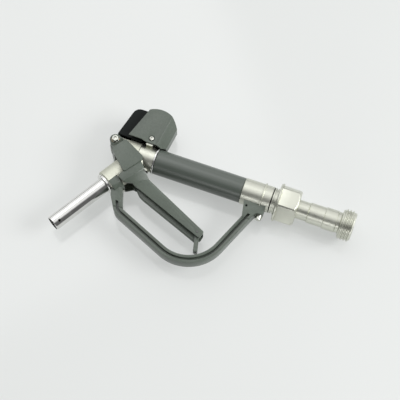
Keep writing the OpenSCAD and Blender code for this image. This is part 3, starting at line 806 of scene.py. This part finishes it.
@dataclass(frozen=True)
class SpiralTree:
    """Geometry Nodes tree that sweeps a section along a spiral; in metres."""

    turns: float
    radius: float
    length: float
    group: ClassVar[str]
    resolution: ClassVar[int]
    crease: ClassVar[float]
    lie: ClassVar[Triple]

    def sizes(self) -> dict[str, float]:
        """The tree's named inputs, with their values."""
        return {"Turns": self.turns, "Radius": self.radius, "Length": self.length}

    def rail(self, wiring: Wiring, spiral: bpy.types.NodeSocket) -> bpy.types.NodeSocket:
        """The curve to sweep along, which is the spiral itself unless a kind changes it."""
        return spiral

    def section(self, wiring: Wiring, size: bpy.types.NodeOutputs) -> bpy.types.NodeSocket:
        """Adds the section that is swept, from the tree's named inputs."""
        raise NotImplementedError

    def _tree(self, finish: Finish) -> bpy.types.NodeTree:
        """Builds the tree.

        Args:
            finish: Finish of the piece.

        Returns:
            The node tree.
        """
        tree = bpy.data.node_groups.new(self.group, "GeometryNodeTree")
        tree.interface.new_socket("Geometry", in_out="OUTPUT", socket_type="NodeSocketGeometry")
        for name, value in self.sizes().items():
            socket = tree.interface.new_socket(name, in_out="INPUT", socket_type="NodeSocketFloat")
            socket.default_value = value
        wiring = Wiring(tree)
        size = wiring.add("NodeGroupInput").outputs
        spiral = wiring.add("GeometryNodeCurveSpiral", None, {
            "Resolution": self.resolution, "Rotations": size["Turns"],
            "Start Radius": size["Radius"], "End Radius": size["Radius"],
            "Height": size["Length"]})
        sweep = wiring.add("GeometryNodeCurveToMesh", None, {
            "Curve": self.rail(wiring, spiral.outputs[0]),
            "Profile Curve": self.section(wiring, size), "Fill Caps": True})
        lay = wiring.add("GeometryNodeTransform", None, {
            "Geometry": sweep.outputs[0], "Rotation": self.lie})
        real = wiring.add("GeometryNodeRealizeInstances", None, {0: lay.outputs[0]})
        dress = wiring.add("GeometryNodeSetMaterial", None, {
            "Geometry": real.outputs[0], "Material": finish.material()})
        wiring.add("NodeGroupOutput", None, {0: dress.outputs[0]})
        return tree

    def wind(self, name: str, start: Vector, finish: Finish) -> bpy.types.Object:
        """Makes the spiral as a plain mesh.

        Args:
            name: Name of the piece.
            start: Point on the axis where the spiral starts.
            finish: Finish of the piece.

        Returns:
            The new object.
        """
        host = new_object(f"{name}_host", bpy.data.meshes.new(f"{name}_host"))
        modifier = host.modifiers.new("tree", "NODES")
        modifier.node_group = self._tree(finish)
        graph = bpy.context.evaluated_depsgraph_get()
        data = bpy.data.meshes.new_from_object(host.evaluated_get(graph), depsgraph=graph)
        host.modifiers.clear()
        bpy.data.objects.remove(host)
        data.name = name
        for polygon in data.polygons:
            polygon.use_smooth = True
        data.set_sharp_from_angle(angle=math.radians(self.crease))
        data.transform(Matrix.Translation(start))
        return new_object(name, data)


@dataclass(frozen=True)
class ThreadTree(SpiralTree):
    """Winds a thread's crest round the X axis."""

    depth: float
    base: float
    crest: float
    group: ClassVar[str] = "thread_crest"
    resolution: ClassVar[int] = 96
    crease: ClassVar[float] = 35.0
    lie: ClassVar[Triple] = (0.0, math.radians(90.0), 0.0)
    # Share of the thread over which each end runs out, and its size there
    runout: ClassVar[float] = 0.06
    end_size: ClassVar[float] = 0.05

    def sizes(self) -> dict[str, float]:
        """The tree's named inputs, with their values."""
        return {**super().sizes(), "Depth": self.depth, "Base": self.base, "Crest": self.crest}

    def rail(self, wiring: Wiring, spiral: bpy.types.NodeSocket) -> bpy.types.NodeSocket:
        """Keeps the section upright and lets it run out at both ends.

        Args:
            wiring: The tree.
            spiral: The plain spiral.

        Returns:
            The curve to sweep along.
        """
        upright = wiring.add("GeometryNodeSetCurveNormal", {"mode": "Z_UP"}, {"Curve": spiral})
        place = wiring.add("GeometryNodeSplineParameter")
        inwards = wiring.add("ShaderNodeMath", {"operation": "PINGPONG"},
                             {0: place.outputs["Factor"], 1: 0.5})
        fade = wiring.add("ShaderNodeMapRange", None, {
            "Value": inwards.outputs[0], "From Max": self.runout, "To Min": self.end_size})
        swell = wiring.add("GeometryNodeSetCurveRadius", None, {
            "Curve": upright.outputs[0], "Radius": fade.outputs[0]})
        return swell.outputs[0]

    def section(self, wiring: Wiring, size: bpy.types.NodeOutputs) -> bpy.types.NodeSocket:
        """Adds the thread's section, with its crest outwards.

        Args:
            wiring: The tree.
            size: Outputs of the tree's named inputs.

        Returns:
            The section's curve.
        """
        tooth = wiring.add("GeometryNodeCurvePrimitiveQuadrilateral", {"mode": "TRAPEZOID"}, {
            "Height": size["Depth"], "Bottom Width": size["Base"], "Top Width": size["Crest"],
            "Offset": 0.0})
        turned = wiring.add("GeometryNodeTransform", None, {
            "Geometry": tooth.outputs[0], "Rotation": (0.0, 0.0, math.radians(90.0))})
        return turned.outputs[0]


@dataclass(frozen=True)
class CoilTree(SpiralTree):
    """Winds a round wire into a coil along the Y axis."""

    wire: float
    group: ClassVar[str] = "wire_coil"
    resolution: ClassVar[int] = 48
    crease: ClassVar[float] = 50.0
    lie: ClassVar[Triple] = (math.radians(-90.0), 0.0, 0.0)
    wire_steps: ClassVar[int] = 16

    def sizes(self) -> dict[str, float]:
        """The tree's named inputs, with their values."""
        return {**super().sizes(), "Wire": self.wire}

    def section(self, wiring: Wiring, size: bpy.types.NodeOutputs) -> bpy.types.NodeSocket:
        """Adds the wire's round section."""
        circle = wiring.add("GeometryNodeCurvePrimitiveCircle", None, {
            "Resolution": self.wire_steps, "Radius": size["Wire"]})
        return circle.outputs[0]


@dataclass(frozen=True)
class FingerRib:
    """Narrow rib along the trigger's finger side, between the prongs of the latch; in mm."""

    half_width: float = 3.2
    rim: float = 1.3
    outline: tuple[Point, ...] = (
        (9.0, -45.0), (110.0, -84.0), (116.6, -88.2), (117.6, -92.0), (117.2, -95.4),
        (115.2, -96.9), (112.0, -95.6), (26.0, -62.8), (19.5, -59.4), (14.0, -54.0))
    rim_steps: ClassVar[int] = 4
    crease: ClassVar[float] = 38.0

    def build(self, name: str) -> bpy.types.Object:
        """Makes the rib as a rounded plate.

        Args:
            name: Name of the piece.

        Returns:
            The new object.
        """
        shape = bmesh.new()
        low = shape.faces.new([shape.verts.new(at(x, y, -self.half_width))
                               for x, y in self.outline])
        lifted = bmesh.ops.extrude_face_region(shape, geom=[low])["geom"]
        top = [part for part in lifted if isinstance(part, bmesh.types.BMVert)]
        bmesh.ops.translate(shape, verts=top, vec=(0.0, 0.0, 2.0 * self.half_width / MM_PER_M))
        rims = [edge for edge in shape.edges if edge.verts[0].co.z == edge.verts[1].co.z]
        bmesh.ops.bevel(shape, geom=rims, offset=self.rim / MM_PER_M, offset_type="OFFSET",
                        segments=self.rim_steps, profile=0.5, affect="EDGES", clamp_overlap=True)
        bmesh.ops.recalc_face_normals(shape, faces=shape.faces)
        return smooth_object(name, shape, self.crease)


class SubAssembly:
    """Pieces that belong together."""

    nodes: ClassVar[dict[str, Finish]] = {}

    def dress(self) -> None:
        """Gives the CAD nodes that stay in view their finishes."""
        for name, finish in self.nodes.items():
            finish.put_on(node(name))
            LOG.info("node %s: %s", name, finish.name)

    def build(self) -> None:
        """Makes the pieces that stand for CAD nodes or add to them, where there are any."""


@dataclass(frozen=True)
class Spout(SubAssembly):
    """Polished spout with its ring and seal."""

    nodes: ClassVar[dict[str, Finish]] = {
        "spout_tube": Palette.spout, "spout_ring": Palette.spout, "spout_seal": Palette.seal}


@dataclass(frozen=True)
class Elbow(SubAssembly):
    """Cast elbow with the branch and the pivot lug."""

    bolt: HexBolt = HexBolt((-42.0, 7.4), start=-18.9, seat=13.7)
    nodes: ClassVar[dict[str, Finish]] = {
        "spout_elbow": Palette.cast, "pivot_nut": Palette.fastener}

    def build(self) -> None:
        """Makes the pivot bolt."""
        settle(self.bolt.build("pivot_bolt_hex"), Body.NOZZLE, Palette.fastener, "pivot_bolt")


@dataclass(frozen=True)
class Valve(SubAssembly):
    """Valve body with its stem, seat, spring and cap; in metres."""

    spring_turns: float = 6.0
    spring_wire: float = 0.0006
    lift: float = 0.0076
    nodes: ClassVar[dict[str, Finish]] = {
        "valve_body": Palette.neck, "gland_nut": Palette.gland, "stem_packing": Palette.seal,
        "seat_ring": Palette.valve, "valve_cap": Palette.valve, "cap_seal": Palette.seal,
        "valve_stem": Palette.dark, "poppet_disc": Palette.valve, "poppet_seal": Palette.seal}

    def build(self) -> None:
        """Winds the spring."""
        points = [vertex.co for vertex in node("valve_spring").data.vertices]
        low, high = (pick(p.y for p in points) for pick in (min, max))
        left, right = (pick(p.x for p in points) for pick in (min, max))
        middle = (left + right) / 2.0
        coil = CoilTree(self.spring_turns, radius=(right - left) / 2.0 - self.spring_wire,
                        length=high - low - 2.0 * self.spring_wire, wire=self.spring_wire)
        foot = Vector((middle, low + self.spring_wire, 0.0))
        spring = coil.wind("spring_coil", foot, Palette.bright)
        settle(spring, Body.NOZZLE, Palette.bright, "valve_spring")
        1.0 - self.lift / (high - low)
        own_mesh(spring)


@dataclass(frozen=True)
class Grip(SubAssembly):
    """Grip tube, sleeve, front ring and rear collar."""

    nodes: ClassVar[dict[str, Finish]] = {
        "grip_tube": Palette.neck, "grip_sleeve": Palette.sleeve,
        "grip_front_ring": Palette.bright, "rear_collar": Palette.neck}


@dataclass(frozen=True)
class Trigger(SubAssembly):
    """Trigger lever with its bushes, pins and latch."""

    lever_edges: EdgeSoftener = EdgeSoftener(0.0009)
    latch_edges: EdgeSoftener = EdgeSoftener(0.0004, segments=2)
    rib: FingerRib = FingerRib()
    nodes: ClassVar[dict[str, Finish]] = {
        "pivot_bushes": Palette.bronze, "push_pin": Palette.dark, "latch_pin": Palette.dark}

    def build(self) -> None:
        """Rounds the lever and the latch, and adds the finger rib."""
        self.lever_edges.soften("trigger_lever", Body.TRIGGER, Palette.paint)
        self.latch_edges.soften("latch_clip", Body.LATCH, Palette.paint)
        settle(self.rib.build("trigger_rib"), Body.TRIGGER, Palette.paint)


@dataclass(frozen=True)
class Hood(SubAssembly):
    """Hood over the valve, with the shield inside it, whose near-black colour is painted shade."""

    edges: EdgeSoftener = EdgeSoftener(0.0008)
    screw: SocketScrew = SocketScrew((7.7, 22.3), face=21.02)
    nodes: ClassVar[dict[str, Finish]] = {"shield_screws": Palette.zinc}

    def build(self) -> None:
        """Rounds the hood and the shield, and turns the hood's screws."""
        self.edges.soften("hood_shell", Body.NOZZLE, Palette.paint)
        self.edges.soften("inner_shield", Body.NOZZLE, Palette.shield)
        for name, side in (("hood_screw_near", 1.0), ("hood_screw_far", -1.0)):
            settle(self.screw.build(name, side), Body.NOZZLE, Palette.fastener, "hood_screws")


@dataclass(frozen=True)
class Guard(SubAssembly):
    """Trigger guard with its screws."""

    edges: EdgeSoftener = EdgeSoftener(0.0014)
    nodes: ClassVar[dict[str, Finish]] = {
        "guard_front_screw": Palette.fastener, "guard_rear_screw": Palette.fastener}

    def build(self) -> None:
        """Rounds the guard."""
        self.edges.soften("guard_bow", Body.NOZZLE, Palette.paint)


@dataclass(frozen=True)
class Inlet(SubAssembly):
    """Swivel, union nut and threaded adapter; in millimetres along the grip and from its axis."""

    nut_edges: EdgeSoftener = EdgeSoftener(0.0007, angle=14.0)
    bore: float = 10.5
    pipe: tuple[Point, ...] = (
        (222.1, 18.4), (228.6, 18.4), (228.6, 13.5), (249.2, 13.5), (250.3, 14.6),
        (272.3, 14.6), (273.4, 15.6), (290.1, 15.6), (291.1, 14.8), (295.1, 14.8), (296.1, 16.5))
    thread_start: float = 296.1
    thread_length: float = 19.0
    root: float = 20.0
    root_chamfer: float = 1.0
    crest: float = 22.0
    pitch: float = 4.233
    end_chamfer: float = 1.2
    mouth_chamfer: float = 1.1
    # Plain length at each end of the thread, its depth below the root, its widths
    thread_gap: float = 2.0
    thread_sink: float = 0.3
    tooth_base: float = 3.2
    tooth_crest: float = 1.3
    nodes: ClassVar[dict[str, Finish]] = {
        "swivel_body": Palette.inlet, "swivel_balls": Palette.bright,
        "swivel_seals": Palette.seal, "union_seal": Palette.seal}

    def build(self) -> None:
        """Rounds the nut, turns the adapter and winds its thread."""
        self.nut_edges.soften("union_nut", Body.SWIVEL, Palette.inlet)
        settle(self._core(), Body.SWIVEL, Palette.inlet, "inlet_adapter")
        settle(self._thread(), Body.SWIVEL, Palette.inlet)

    def _core(self) -> bpy.types.Object:
        """Turns the adapter down to its thread's root.

        Returns:
            The new object.
        """
        start, end = self.thread_start, self.thread_start + self.thread_length
        profile = [
            (self.pipe[0][0], self.bore), *self.pipe,
            (start, self.root - self.root_chamfer), (start + self.root_chamfer, self.root),
            (end - self.end_chamfer, self.root), (end, self.root - self.end_chamfer),
            (end, self.bore + self.mouth_chamfer), (end - self.mouth_chamfer, self.bore)]
        return Lathe(at(0.0, 0.0), Vector(X_AXIS)).turn("inlet_core", profile)

    def _thread(self) -> bpy.types.Object:
        """Winds the thread's crest.

        Returns:
            The new object.
        """
        length = self.thread_length - 2.0 * self.thread_gap
        depth = self.crest - self.root + self.thread_sink
        middle = self.root - self.thread_sink + depth / 2.0
        tree = ThreadTree(length / self.pitch, radius=middle / MM_PER_M, length=length / MM_PER_M,
                          depth=depth / MM_PER_M, base=self.tooth_base / MM_PER_M,
                          crest=self.tooth_crest / MM_PER_M)
        return tree.wind("inlet_thread", at(self.thread_start + self.thread_gap, 0.0),
                         Palette.inlet)


@dataclass(frozen=True)
class View:
    """Camera of the photograph; angles in degrees, lengths in metres."""

    yaw: float = 18.38
    elevation: float = 68.08
    roll: float = 1.50
    distance: float = 1.5
    target: Triple = (-0.2143, -0.0342, 0.0)
    focal_px: float = 1068.7
    frame_px: float = 400.0
    sensor_mm: float = 36.0
    nearest: float = 0.02

    def axes(self) -> tuple[Vector, Vector, Vector]:
        """Directions of the picture.

        Returns:
            Right, up, and towards the camera.
        """
        yaw, high, roll = (math.radians(a) for a in (self.yaw, self.elevation, self.roll))
        flat = Vector((math.cos(yaw), math.sin(yaw), 0.0))
        away = Vector((-math.sin(yaw), math.cos(yaw), 0.0))
        rise = Vector(Z_AXIS)
        back = rise * math.sin(high) - away * math.cos(high)
        up = away * math.sin(high) + rise * math.cos(high)
        return (flat * math.cos(roll) + up * math.sin(roll),
                up * math.cos(roll) - flat * math.sin(roll), back)

    def place(self) -> None:
        """Makes the camera and its view the scene's."""
        data = bpy.data.cameras.new("photo_camera")
        data.sensor_fit = "HORIZONTAL"
        data.sensor_width = self.sensor_mm
        data.lens = self.focal_px / self.frame_px * self.sensor_mm
        data.clip_start = self.nearest
        camera = bpy.data.objects.new("photo_camera", data)
        bpy.context.scene.collection.objects.link(camera)
        right, up, back = self.axes()
        spot = Vector(self.target) + back * self.distance
        camera.matrix_world = Matrix((
            (right.x, up.x, back.x, spot.x), (right.y, up.y, back.y, spot.y),
            (right.z, up.z, back.z, spot.z), (0.0, 0.0, 0.0, 1.0)))
        bpy.context.scene.camera = camera


@dataclass(frozen=True)
class Panel:
    """A soft light panel; in metres from the middle of the view, and in watts."""

    name: str
    spot: Triple
    size: Point
    power: float

    def hang(self, target: Vector) -> None:
        """Hangs the panel, facing a point.

        Args:
            target: Point that the panel faces.
        """
        data = bpy.data.lights.new(self.name, "AREA")
        data.shape = "RECTANGLE"
        data.size, data.size_y = self.size
        data.energy = self.power
        lamp = bpy.data.objects.new(self.name, data)
        bpy.context.scene.collection.objects.link(lamp)
        lamp.location = target + Vector(self.spot)
        lamp.rotation_euler = (target - lamp.location).to_track_quat("-Z", "Y").to_euler()


@dataclass(frozen=True)
class Studio:
    """Table, light and camera."""

    view: View = View()
    table_z: float = -0.0277
    table_half: float = 12.0
    table_dark: Colour = (0.27, 0.275, 0.272)
    table_light: Colour = (0.29, 0.295, 0.292)
    table_glow: Colour = (0.405, 0.416, 0.408)
    table_gloss: float = 0.55
    sky: float = 1.12
    gloom: float = 0.16
    # Direction of the room's bright side, and where it starts and is full along it
    bright_side: Triple = (-0.25, 0.80, 0.55)
    bright_band: Point = (0.12, 0.50)
    # Heights over the horizon, as sines, where the brightness starts and is full
    high_band: Point = (0.02, 0.25)
    panels: tuple[Panel, ...] = (
        Panel("key_panel", spot=(-1.2, 1.2, 2.8), size=(2.0, 1.6), power=12.0),
        Panel("far_panel", spot=(2.3, 0.5, 1.5), size=(1.6, 1.2), power=80.0),
        Panel("near_panel", spot=(0.5, -2.0, 0.75), size=(1.8, 0.7), power=8.5),
    )

    def build(self) -> None:
        """Builds the whole studio."""
        self._table()
        self._world()
        for panel in self.panels:
            panel.hang(Vector(self.view.target))
        self.view.place()
        bpy.context.scene.view_settings.view_transform = "Standard"

    def _table(self) -> None:
        """Lays a pale, slightly glossy table that glows a little of its own."""
        shape = bmesh.new()
        bmesh.ops.create_grid(shape, x_segments=1, y_segments=1, size=self.table_half)
        data = bpy.data.meshes.new("table")
        shape.to_mesh(data)
        shape.free()
        x, y, _ = self.view.target
        data.transform(Matrix.Translation((x, y, self.table_z)))
        table = new_object("table", data)
        canvas = Canvas("table_white")
        canvas.colour(self.table_dark, self.table_light, canvas.noise(scale=3.0, detail=2.0))
        canvas.drive("Roughness", canvas.noise(scale=8.0, detail=2.0) * 0.06 + 0.10)
        canvas.fix(Specular_IOR_Level=self.table_gloss, Emission_Strength=1.0,
                   Emission_Color=(*self.table_glow, 1.0))
        data.materials.append(canvas.material)

    def _world(self) -> None:
        """Surrounds the scene with a room that is bright above and dim towards the viewer."""
        world = bpy.data.worlds.new("studio")
        bpy.context.scene.world = world
        world.use_nodes = True
        world.node_tree.nodes.clear()
        wiring = Wiring(world.node_tree)
        place = wiring.add("ShaderNodeTexCoord").outputs["Generated"]
        bright = wiring.dot(place, Vector(self.bright_side).normalized()).smooth(*self.bright_band)
        high = wiring.dot(place, Vector(Z_AXIS)).smooth(*self.high_band)
        glow = bright * high * self.sky + self.gloom
        room = wiring.add("ShaderNodeBackground", None, {"Strength": glow})
        wiring.add("ShaderNodeOutputWorld", None, {"Surface": room.outputs[0]})


def main() -> None:
    """Builds and dresses the nozzle, then builds the studio."""
    logging.basicConfig(level=logging.INFO, format="%(name)s: %(message)s")
    parts: tuple[SubAssembly, ...] = (
        Spout(), Elbow(), Valve(), Grip(), Trigger(), Hood(), Guard(), Inlet())
    for part in parts:
        part.dress()
        part.build()
        LOG.info("%s dressed", type(part).__name__)
    Studio().build()


if __name__ == "__main__":
    main()
